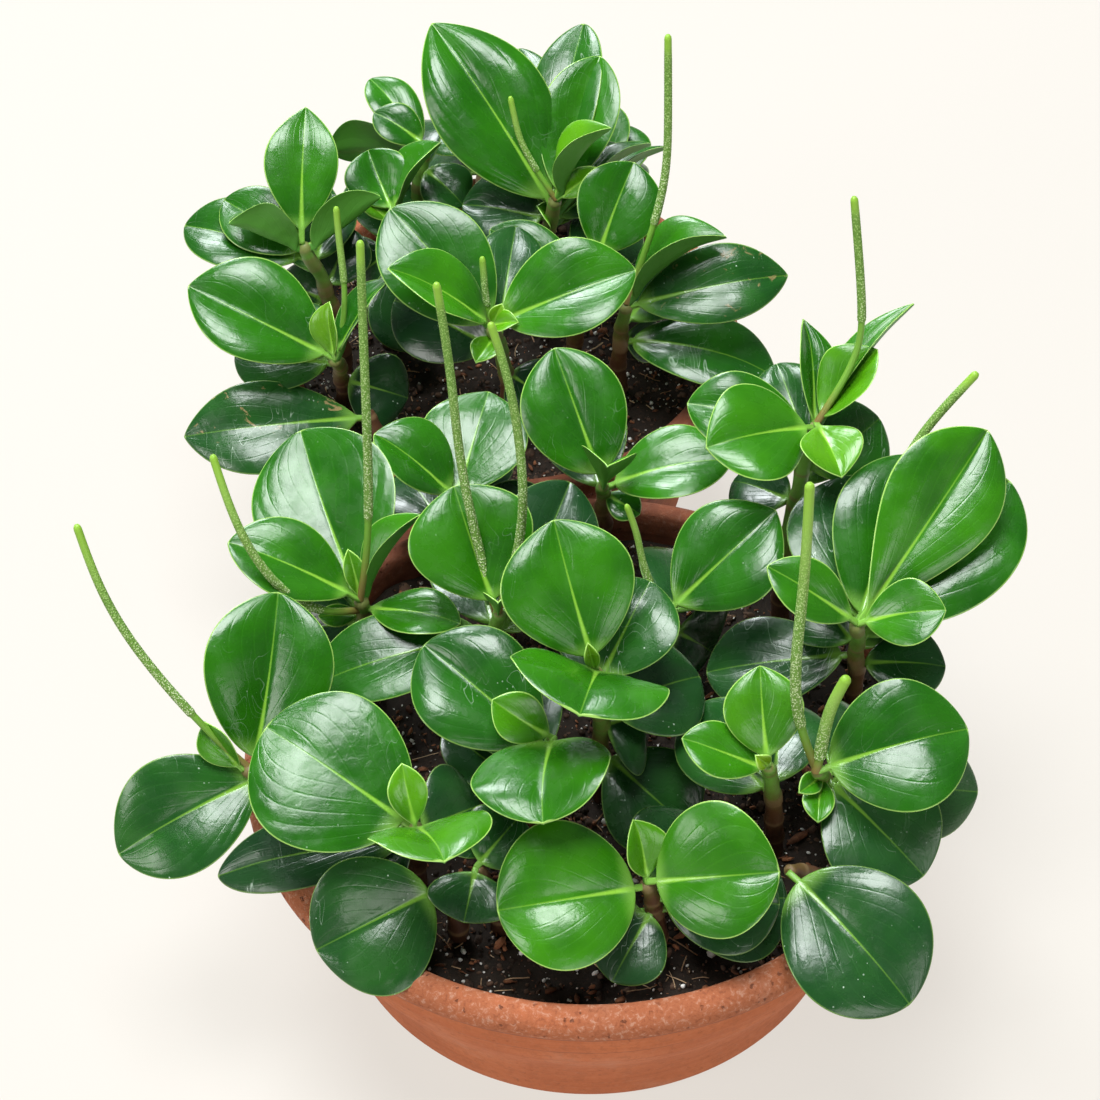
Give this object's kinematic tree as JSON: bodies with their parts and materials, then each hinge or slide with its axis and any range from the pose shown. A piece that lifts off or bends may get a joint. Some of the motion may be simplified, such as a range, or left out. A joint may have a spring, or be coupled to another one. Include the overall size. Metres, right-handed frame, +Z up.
{
  "type": "potted peperomia plant",
  "caption": "Leafy peperomia with glossy rounded leaves and slender upright flower spikes, growing in two round terracotta bowls that stand one behind the other.",
  "frame": {"origin": "middle of the bounding box at the floor, under the planting", "axes": "+Z up; -Y towards the larger front bowl and the viewer, +Y towards the smaller rear bowl; X across"},
  "size_m": [0.4472, 0.633, 0.3735],
  "materials": {
    "terracotta": "unglazed, matte, with worn lip and faint mineral stains",
    "potting_soil": "damp crumbly peat with bark chips and perlite",
    "leaf": "waxy, glossy living leaf with a pale margin and midrib",
    "stem": "fleshy stem, green above and reddish brown below, with node rings"
  },
  "bodies": {
    "root": {"crown_bowl_left": "leaf", "crown_bridge": "leaf", "crown_centre": "leaf", "crown_east": "leaf", "crown_east_high": "leaf", "crown_far_east": "leaf", "crown_heart_right": "leaf", "crown_lip_left": "leaf", "crown_lip_mid": "leaf", "crown_lip_right": "leaf", "crown_middle": "leaf", "crown_north": "leaf", "crown_north_east": "leaf", "crown_north_west": "leaf", "crown_rear_back": "leaf", "crown_rear_corner": "leaf", "crown_rear_fold": "leaf", "crown_rear_heart": "leaf", "crown_rear_left": "leaf", "crown_rear_low": "leaf", "crown_rear_peak": "leaf", "crown_rear_ridge": "leaf", "crown_rear_right": "leaf", "crown_rear_side": "leaf", "crown_rear_top": "leaf", "crown_soil_left": "leaf", "crown_west": "leaf", "crown_west_high": "leaf", "front_bowl": "terracotta", "front_soil": "potting_soil", "rear_bowl": "terracotta", "rear_soil": "potting_soil", "stem_bowl_left": "stem", "stem_bridge": "stem", "stem_centre": "stem", "stem_east": "stem", "stem_east_high": "stem", "stem_far_east": "stem", "stem_heart_right": "stem", "stem_lip_left": "stem", "stem_lip_mid": "stem", "stem_lip_right": "stem", "stem_middle": "stem", "stem_north": "stem", "stem_north_east": "stem", "stem_north_west": "stem", "stem_rear_back": "stem", "stem_rear_corner": "stem", "stem_rear_fold": "stem", "stem_rear_heart": "stem", "stem_rear_left": "stem", "stem_rear_low": "stem", "stem_rear_peak": "stem", "stem_rear_ridge": "stem", "stem_rear_right": "stem", "stem_rear_side": "stem", "stem_rear_top": "stem", "stem_soil_left": "stem", "stem_west": "stem", "stem_west_high": "stem"}
  },
  "joints": []
}
